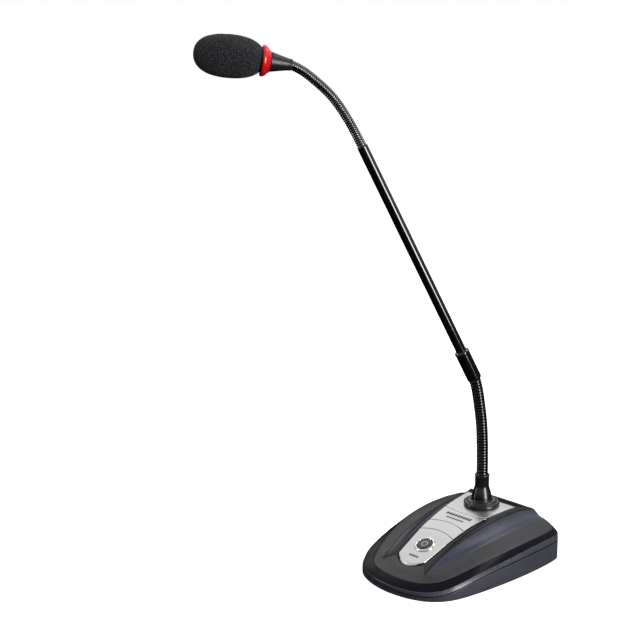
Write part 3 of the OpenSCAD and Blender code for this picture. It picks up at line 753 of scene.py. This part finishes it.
def build_prints():
    """Generic stand-ins for the printing: rows of plain slanted bars."""
    bars = []
    for row_y, count, w, h, gap in ((8.2, 9, 2.0, 3.0, 0.72), (3.9, 8, 1.45, 1.8, 0.62),
                                    (-43.2, 5, 1.3, 1.7, 0.45)):
        total = count * w + (count - 1) * gap
        for i in range(count):
            x = -total / 2 + i * (w + gap)
            lean = 0.16 * h
            bars.append(mark("bar",
                             [(x, row_y), (x + w, row_y), (x + w + lean, row_y + h),
                              (x + lean, row_y + h)]))
    return place(join("plate_print", bars), "base", "faceplate_silver")


def build_button():
    at_button = Matrix.Translation((0, BUTTON_Y * MM, BUTTON_Z * MM)) @ Matrix.Rotation(SLOPE, 4, "X")
    bezel = rounded([(6.05, -4), (7, -4), (7, 0.32), (8, 0.32, 0.05), (8.0, 0.75, 0.3), (7.3, 1.3, 0.5),
                     (6.45, 1.3, 0.3), (6.05, 0.8, 0.2), (6.05, -4)], 0.1)
    ring = lathe("button_ring", bezel[:-1], at_button, [MAT["chrome"]], 128, sharp_angle=40)
    place(ring, "base", "bezel_chrome", "button_bezel")
    cap = rounded([(0, -5), (6.7, -5), (6.7, -4.4), (5.7, -4.4, 0.05), (5.7, 0.9, 0.35),
                   (5.1, 1.5, 0.5), (4.1, 1.62, 0.25), (3.7, 1.2, 0.25), (2.4, 1.35, 0.8),
                   (0, 1.5)], 0.1)
    button = lathe("button_cap", cap, at_button, [MAT["button"]], 96, sharp_angle=40)
    place(button, "button", "button_black", "power_button")
    rings = rounded([(2.05, 1.3), (2.05, 1.46, 0.03), (2.45, 1.44, 0.03), (2.45, 1.2), (2.05, 1.2),
                     (2.05, 1.3)], 0.02)
    icon = lathe("button_icon", rings[:-1], at_button, [MAT["icon"]], 64, sharp_angle=40)
    place(icon, "button", "button_black")


# ---------------------------------------------------------------- stem

def build_boot():
    seat = 37.25
    r = 28.4 / 2
    profile = rounded([(0, 27), (6, 27), (6, seat, 0.05), (r - 0.3, seat, 0.1), (r, seat + 0.4, 0.2),
                       (r, seat + 2.0, 0.5), (r - 0.9, seat + 2.9, 0.5), (r - 2.2, seat + 2.75, 0.3),
                       (r - 2.7, seat + 3.6, 0.4), (r - 3.6, seat + 4.1, 0.5), (8.7, seat + 4.0, 0.3),
                       (8.3, seat + 4.6, 0.3), (8.05, seat + 6.4, 1.2), (7.2, seat + 10.0, 2.5),
                       (5.9, seat + 14.0, 2.2), (5.6, seat + 15.2, 0.6), (5.6, 60.5, 0.3),
                       (5.95, 60.9, 0.2), (5.95, 61.7, 0.3), (5.6, 62.0, 0.2), (4.6, 62.0, 0.1),
                       (4.5, 61.2, 0.1), (0, 61.2)], 0.3, 6)
    boot = lathe("boot", profile, Matrix.Translation((0, STEM_Y * MM, 0)), [MAT["boot"]], 128,
                 sharp_angle=50)
    place(boot, "base", "boot_black", "stem_boot")


# ---------------------------------------------------------------- neck

LOWER_D, LOWER_PITCH = 9.2, 2.3
UPPER_D, UPPER_PITCH = 7.0, 1.65
RIB_DEPTH = 0.42
# spacing of the centreline's points, mm
STEP = 0.25


def joint_points(section):
    """The hinge points of one gooseneck, bottom to top, in metres."""
    names = [f"{section}_bend", f"{section}_side"]
    names += [f"{section}_{k}_{i}" for i in (2, 3, 4) for k in ("bend", "side")]
    found = [JOINTS[n] for n in names if n in JOINTS]
    return [Vector(j["pos_m"]) for j in found], [(j["parent"], j["child"]) for j in found]


LOWER, LOWER_PAIRS = joint_points("lower")
UPPER, UPPER_PAIRS = joint_points("upper")
TUBE_DIR = (UPPER[0] - LOWER[-1]).normalized()
HEAD_DIR = Vector(JOINTS["windscreen_slide"]["axis"]).normalized()


def relaxed(corners, start_dir, end_dir, sigma=7.5):
    """Smooth curve over a chain of corners that leaves both ends straight on."""
    reach = 3 * sigma * MM
    chain = [corners[0] - start_dir * reach] + corners + [corners[-1] + end_dir * reach]
    p = np.array([tuple(c) for c in chain])
    at = np.concatenate([[0], np.cumsum(np.linalg.norm(np.diff(p, axis=0), axis=1))])
    s = np.arange(0, at[-1], STEP * MM)
    fine = np.stack([np.interp(s, at, p[:, k]) for k in range(3)], axis=1)
    side = 90
    w = np.exp(-0.5 * (np.arange(-side, side + 1) * STEP / sigma) ** 2)
    before = np.arange(-side, 0)[:, None] * (fine[1] - fine[0])
    after = np.arange(1, side + 1)[:, None] * (fine[-1] - fine[-2])
    padded = np.concatenate([fine[:1] + before, fine, fine[-1:] + after])
    soft = np.stack([np.convolve(padded[:, k], w / w.sum(), "valid") for k in range(3)], axis=1)
    first, last = np.array(tuple(corners[0])), np.array(tuple(corners[-1]))
    a, b = (int(np.argmin(np.linalg.norm(soft - c, axis=1))) for c in (first, last))
    out = soft[a:b + 1].copy()
    # draw the two ends exactly onto their corners
    ease = np.exp(-np.arange(len(out)) / 20.0)[:, None]
    out += ease * (first - out[0]) + ease[::-1] * (last - out[-1])
    return out


def ribbed_tube(name, centre, s0, s1, radius, pitch, depth, materials):
    """Wound sleeve between two lengths along a centreline; its ridge runs on from piece to piece."""
    segments = 36
    rows = max(6, int((s1 - s0) / pitch * 9))
    verts, faces = [], []
    for k in range(rows + 1):
        s = s0 + (s1 - s0) * k / rows
        p, x, y = centre(s)
        for i in range(segments):
            a = 2 * math.pi * i / segments
            turn = (s / pitch - a / (2 * math.pi)) % 1.0
            wave = abs(math.sin(math.pi * turn)) ** 0.8
            r = radius - depth * (1 - wave)
            verts.append(p + (x * math.cos(a) + y * math.sin(a)) * r)
    for k in range(rows):
        for i in range(segments):
            j = (i + 1) % segments
            faces.append((k * segments + i, k * segments + j, (k + 1) * segments + j,
                          (k + 1) * segments + i))
    for base, s in ((0, s0), (rows * segments, s1)):
        verts.append(centre(s)[0])
        c = len(verts) - 1
        faces += [(base + i, base + (i + 1) % segments, c) for i in range(segments)]
    return new_object(name, verts, faces, materials, None, 55)


def build_gooseneck(section, points, start, end, start_dir, end_dir, diameter, pitch, finish):
    """One gooseneck as ribbed pieces, each running across one hinge of the chain."""
    corners = [start, start + start_dir * 3 * MM] + points[1:-1:2][:3] + [end - end_dir * 5 * MM, end]
    line = relaxed(corners, start_dir, end_dir)
    seg = np.linalg.norm(np.diff(line, axis=0), axis=1)
    lengths = np.concatenate([[0], np.cumsum(seg)])
    tangents = np.gradient(line, lengths, axis=0)
    tangents /= np.linalg.norm(tangents, axis=1)[:, None]
    side = np.cross(start_dir, end_dir)
    side = np.array(side / np.linalg.norm(side))

    def centre(s):
        p = np.array([np.interp(s, lengths, line[:, k]) for k in range(3)])
        t = np.array([np.interp(s, lengths, tangents[:, k]) for k in range(3)])
        t /= np.linalg.norm(t)
        y = np.cross(t, side)
        return Vector(p), Vector(side), Vector(y)

    def nearest(point):
        d = np.linalg.norm(line - np.array(point), axis=1)
        return lengths[int(np.argmin(d))]

    middles = [nearest((a + b) / 2) for a, b in zip(points[:-1], points[1:])]
    cuts = [0.0] + middles + [lengths[-1]]
    for i, (low, high) in enumerate(zip(cuts[:-1], cuts[1:])):
        piece = ribbed_tube(f"{section}_sleeve_{i + 1}", centre, low, high,
                            diameter / 2 * MM, pitch * MM, RIB_DEPTH * MM, [MAT[finish]])
        tuple(centre(low)[0])
        tuple(centre(high)[0])
        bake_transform(piece)
        if i < len(points) - 1:
            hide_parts(f"{section}_link_{i + 1}")


def build_neck():
    build_gooseneck("lower", LOWER, Vector((0, STEM_Y * MM, BOOT_TOP * MM)),
                    LOWER[-1] + TUBE_DIR * 0.8 * MM, Vector((0, 0, 1)), TUBE_DIR, LOWER_D, LOWER_PITCH,
                    "gooseneck")
    build_gooseneck("upper", UPPER, UPPER[0] - TUBE_DIR * 4.0 * MM,
                    UPPER[-1] + HEAD_DIR * 0.8 * MM, TUBE_DIR, HEAD_DIR, UPPER_D, UPPER_PITCH,
                    "gooseneck_painted_highlight")
    at_ferrule = axis_frame(LOWER[-1], TUBE_DIR)
    run = (UPPER[0] - LOWER[-1]).length / MM
    ferrule = rounded([(0, 1.2), (4.7, 1.2), (4.8, 0, 0.1), (5.2, 0, 0.2), (5.6, 0.7, 0.3),
                       (5.6, 23.0, 0.2), (5.8, 23.3, 0.15), (5.8, 24.4, 0.3), (5.1, 25.3, 0.2),
                       (4.15, 25.5, 0.1), (4.1, 24.8), (0, 24.8)], 0.2, 6)
    place(lathe("sleeve_ferrule", ferrule, at_ferrule, [MAT["tube"]], 96, sharp_angle=50), "tube",
          "tube_black", "ferrule")
    tube = rounded([(0, 20), (4, 20), (4, run - 4.4, 0.4), (3.6, run - 3.7, 0.3), (3.0, run - 3.6),
                    (0, run - 3.6)], 0.2, 6)
    place(lathe("straight_tube", tube, at_ferrule, [MAT["tube"]], 96, sharp_angle=50), "tube",
          "tube_black", "rigid_tube")


# ---------------------------------------------------------------- head

AT_HEAD = axis_frame(UPPER[-1], HEAD_DIR)
CONE_L = 15.8
# the foam's droop, and the place along the head that it turns about
DROOP, DROOP_AT = math.radians(3.6), 36


def build_head():
    cone = rounded([(0, 1.2), (3.3, 1.2), (3.4, 0, 0.1), (3.7, 0, 0.2), (4.0, 0.6, 0.3),
                    (4.15, 2.6, 0.8), (5.6, 9.4, 3), (6.75, 14.2, 1.2), (6.95, 15.1, 0.3),
                    (6.9, CONE_L, 0.2), (0, CONE_L)], 0.2, 7)
    place(lathe("cone", cone, AT_HEAD, [MAT["head"]], 112, sharp_angle=50), "head", "head_grey",
          "head_cone")
    z = CONE_L
    ring = rounded([(6.8, z + 0.02), (7.5, z + 0.02, 0.3), (8.0, z + 0.7, 0.3), (8.3, z + 1.3, 0.2),
                    (9.6, z + 2.1, 0.7), (10.6, z + 3.5, 0.9), (10.9, z + 4.9, 0.6),
                    (10.85, z + 5.7, 0.3), (10.4, z + 6.05, 0.2), (6.8, z + 6.05),
                    (6.8, z + 0.02)], 0.2, 6)
    place(lathe("ring_light", ring[:-1], AT_HEAD, [MAT["ring"]], 128, sharp_angle=50), "head",
          "ring_red", "light_ring")


def build_foam():
    """Foam windscreen: a blunt egg slipped on slightly askew, pitted, with a blind bore."""
    start, centre, nose, r_max, power = 22.2, 44.0, 24.7, 14.75, 2.35
    bore_r, bore_end = 7.4, 58.8
    around, steps = 260, 170
    mouth = math.radians(28.5)
    tail = (centre - start) / math.cos(mouth)
    seed = Vector((3.1, 7.7, 1.9))
    # the egg droops by a few degrees about a point near its mouth; the bore stays true
    down = AT_HEAD.to_3x3().inverted() @ Vector((0, 0, -1))
    droop_axis = Vector((0, 0, 1)).cross(Vector((down.x, down.y, 0))).normalized()
    to_pivot = Matrix.Translation((0, 0, DROOP_AT))
    droop = to_pivot @ Matrix.Rotation(DROOP, 4, droop_axis) @ to_pivot.inverted()
    verts = []
    for k in range(steps):
        t = -math.cos(mouth + (math.pi - mouth) * k / steps)
        r = r_max * (1 - abs(t) ** power) ** (1 / power)
        s = centre + t * (nose if t > 0 else tail)
        for i in range(around):
            a = 2 * math.pi * i / around
            p = Vector((r * math.cos(a), r * math.sin(a), s))
            out = Vector((math.cos(a), math.sin(a), 0)) if r > 3 else Vector((0, 0, 1))
            cell = noise.noise(p * 1.35 + seed) * 0.5 + noise.noise(p * 2.6 + seed) * 0.5
            wobble = noise.noise(p * 0.16 + seed)
            p += out * (0.2 * cell + 0.12 * wobble)
            verts.append(AT_HEAD @ ((droop @ p) * MM))
    faces = []
    for k in range(steps - 1):
        row, above = k * around, (k + 1) * around
        for i in range(around):
            j = (i + 1) % around
            faces.append((row + i, row + j, above + j, above + i))
    verts.append(AT_HEAD @ ((droop @ Vector((0, 0, centre + nose))) * MM))
    tip = len(verts) - 1
    row = (steps - 1) * around
    faces += [(row + i, row + (i + 1) % around, tip) for i in range(around)]
    # mouth, turned in to the bore that holds the housing
    base = len(verts)
    for s in (start, bore_end):
        for i in range(around):
            a = 2 * math.pi * i / around
            verts.append(AT_HEAD @ (Vector((bore_r * math.cos(a), bore_r * math.sin(a), s)) * MM))
    previous = 0
    for row in (base, base + around):
        faces += [(previous + (i + 1) % around, previous + i, row + i,
                   row + (i + 1) % around) for i in range(around)]
        previous = row
    verts.append(AT_HEAD @ (Vector((0, 0, bore_end)) * MM))
    end = len(verts) - 1
    faces += [(previous + i, previous + (i + 1) % around, end) for i in range(around)]
    foam = new_object("foam_cover", verts, faces, [MAT["foam"]], None, 60)
    place(foam, "windscreen", "foam_black", "foam_windscreen")


# ---------------------------------------------------------------- CAD nodes that stay

def dress_frame():
    """Gives each CAD node that is shown a finish of its own."""
    finishes = {
        "anti_slip_pad": MAT["rubber"],
        "battery_door": MAT["lower_shell"],
        "ballast_plate": metal("steel_plate", (0.4, 0.41, 0.43), (0.5, 0.5, 0.52), 0.4),
        "batteries": moulded("cell_wrap", (0.12, 0.13, 0.16), (0.16, 0.17, 0.2), 0.25),
        "battery_leads": moulded("lead_red", (0.4, 0.03, 0.02), (0.5, 0.05, 0.03), 0.4),
        "shield_can": metal("tin", (0.6, 0.6, 0.58), (0.7, 0.7, 0.68), 0.3),
        "capacitors": moulded("sleeve_blue", (0.01, 0.02, 0.1), (0.02, 0.03, 0.14), 0.3),
        "antenna_wire": metal("copper", (0.7, 0.32, 0.15), (0.8, 0.4, 0.2), 0.3),
        "capsule_housing": moulded("housing", (0.02, 0.02, 0.022), (0.03, 0.03, 0.034), 0.3),
        "capsule_gasket": MAT["rubber"],
    }
    zinc = metal("zinc", (0.55, 0.55, 0.55), (0.66, 0.66, 0.65), 0.3)
    board = moulded("solder_mask", (0.01, 0.09, 0.03), (0.015, 0.12, 0.04), 0.3)
    chip = moulded("chip", (0.015, 0.015, 0.017), (0.025, 0.025, 0.027), 0.5)
    grey = moulded("lead_grey", (0.12, 0.12, 0.12), (0.16, 0.16, 0.16), 0.45)
    for name in ("ballast_screws", "case_screws", "board_screws", "battery_springs", "battery_plates",
                 "stem_nut"):
        finishes[name] = zinc
    for name in ("main_board", "button_board", "led_board"):
        finishes[name] = board
    for name in ("board_chips", "tact_switch"):
        finishes[name] = chip
    for name in ("stem_lead", "tube_lead"):
        finishes[name] = grey
    finishes["capsule"] = finishes["shield_can"]
    finishes["capsule_grille"] = finishes["capsule_housing"]
    for name, mat in finishes.items():
        mesh = frame["nodes"][name].data
        mesh.materials.clear()
        mesh.materials.append(mat)


# ---------------------------------------------------------------- studio

def build_camera():
    level = math.cos(CAM_PITCH)
    forward = Vector((-math.sin(CAM_HEADING) * level, math.cos(CAM_HEADING) * level,
                      -math.sin(CAM_PITCH)))
    camera = bpy.data.objects.new("camera", bpy.data.cameras.new("camera"))
    camera.location = CAM_PLACE
    camera.rotation_euler = forward.to_track_quat("-Z", "Y").to_euler()
    camera.data.sensor_width = 36
    camera.data.lens = CAM_LENS
    camera.data.shift_x = CAM_SHIFT
    camera.data.clip_start = 0.01
    bpy.context.scene.collection.objects.link(camera)
    bpy.context.scene.camera = camera


def softbox(name, location, target, size_x, size_y, power):
    """Rectangular area light aimed at target."""
    light = bpy.data.lights.new(name, "AREA")
    light.shape = "RECTANGLE"
    light.size, light.size_y = size_x, size_y
    light.energy = power
    obj = bpy.data.objects.new(name, light)
    obj.location = location
    obj.rotation_euler = (Vector(target) - Vector(location)).to_track_quat("-Z", "Y").to_euler()
    bpy.context.scene.collection.objects.link(obj)


def build_studio():
    size = 30.0
    floor_mat, tree, shader = node_material("floor_paper", (0.85, 0.85, 0.85), 0.9)
    shader.inputs["Emission Color"].default_value = (1, 1, 1, 1)
    shader.inputs["Emission Strength"].default_value = 0.88
    paper = add_noise(tree, 300, 3, 0.6)
    add_bump(tree, shader, paper.outputs["Fac"], 0.05, 0.0002)
    floor = new_object("floor",
                       [(-size, -size, 0), (size, -size, 0), (size, size, 0), (-size, size, 0)],
                       [(0, 1, 2, 3)], [floor_mat])
    floor.visible_glossy = False
    floor.visible_diffuse = False
    # white backdrop for the camera; the light it gives fades from overhead to the horizon
    world = bpy.data.worlds.new("studio")
    world.use_nodes = True
    tree = world.node_tree
    backdrop = tree.nodes["Background"]
    backdrop.inputs["Color"].default_value = (1, 1, 1, 1)
    backdrop.inputs["Strength"].default_value = 1.0
    sky = tree.nodes.new("ShaderNodeBackground")
    coord = tree.nodes.new("ShaderNodeTexCoord")
    split = tree.nodes.new("ShaderNodeSeparateXYZ")
    tree.links.new(coord.outputs["Generated"], split.inputs["Vector"])
    tree.links.new(remap(tree, split.outputs["Z"], SKY_DIM, SKY_BRIGHT, SKY_LOW, SKY_HIGH),
                   sky.inputs["Strength"])
    mix = tree.nodes.new("ShaderNodeMixShader")
    path = tree.nodes.new("ShaderNodeLightPath")
    tree.links.new(path.outputs["Is Camera Ray"], mix.inputs["Fac"])
    tree.links.new(sky.outputs["Background"], mix.inputs[1])
    tree.links.new(backdrop.outputs["Background"], mix.inputs[2])
    tree.links.new(mix.outputs["Shader"], tree.nodes["World Output"].inputs["Surface"])
    bpy.context.scene.world = world
    middle = (0, 0, 0.12)
    softbox("key", (1.1, -0.04, 0.33), middle, 0.42, 0.65, 12)
    softbox("rear", (0.3, 0.75, 1.35), (0, 0, 0.03), 0.6, 0.6, 3.2)
    softbox("top", (-0.8, 0.55, 0.85), (0, 0, 0.05), 1.2, 0.9, 2.2)
    softbox("edge", (-0.9, -0.8, 0.45), middle, 0.14, 1.1, 2.4)
    bpy.context.scene.view_settings.view_transform = "Standard"


dress_frame()
build_top_shell()
build_bottom_shell()
build_faceplate()
build_prints()
build_button()
build_boot()
build_neck()
build_head()
build_foam()
build_camera()
build_studio()
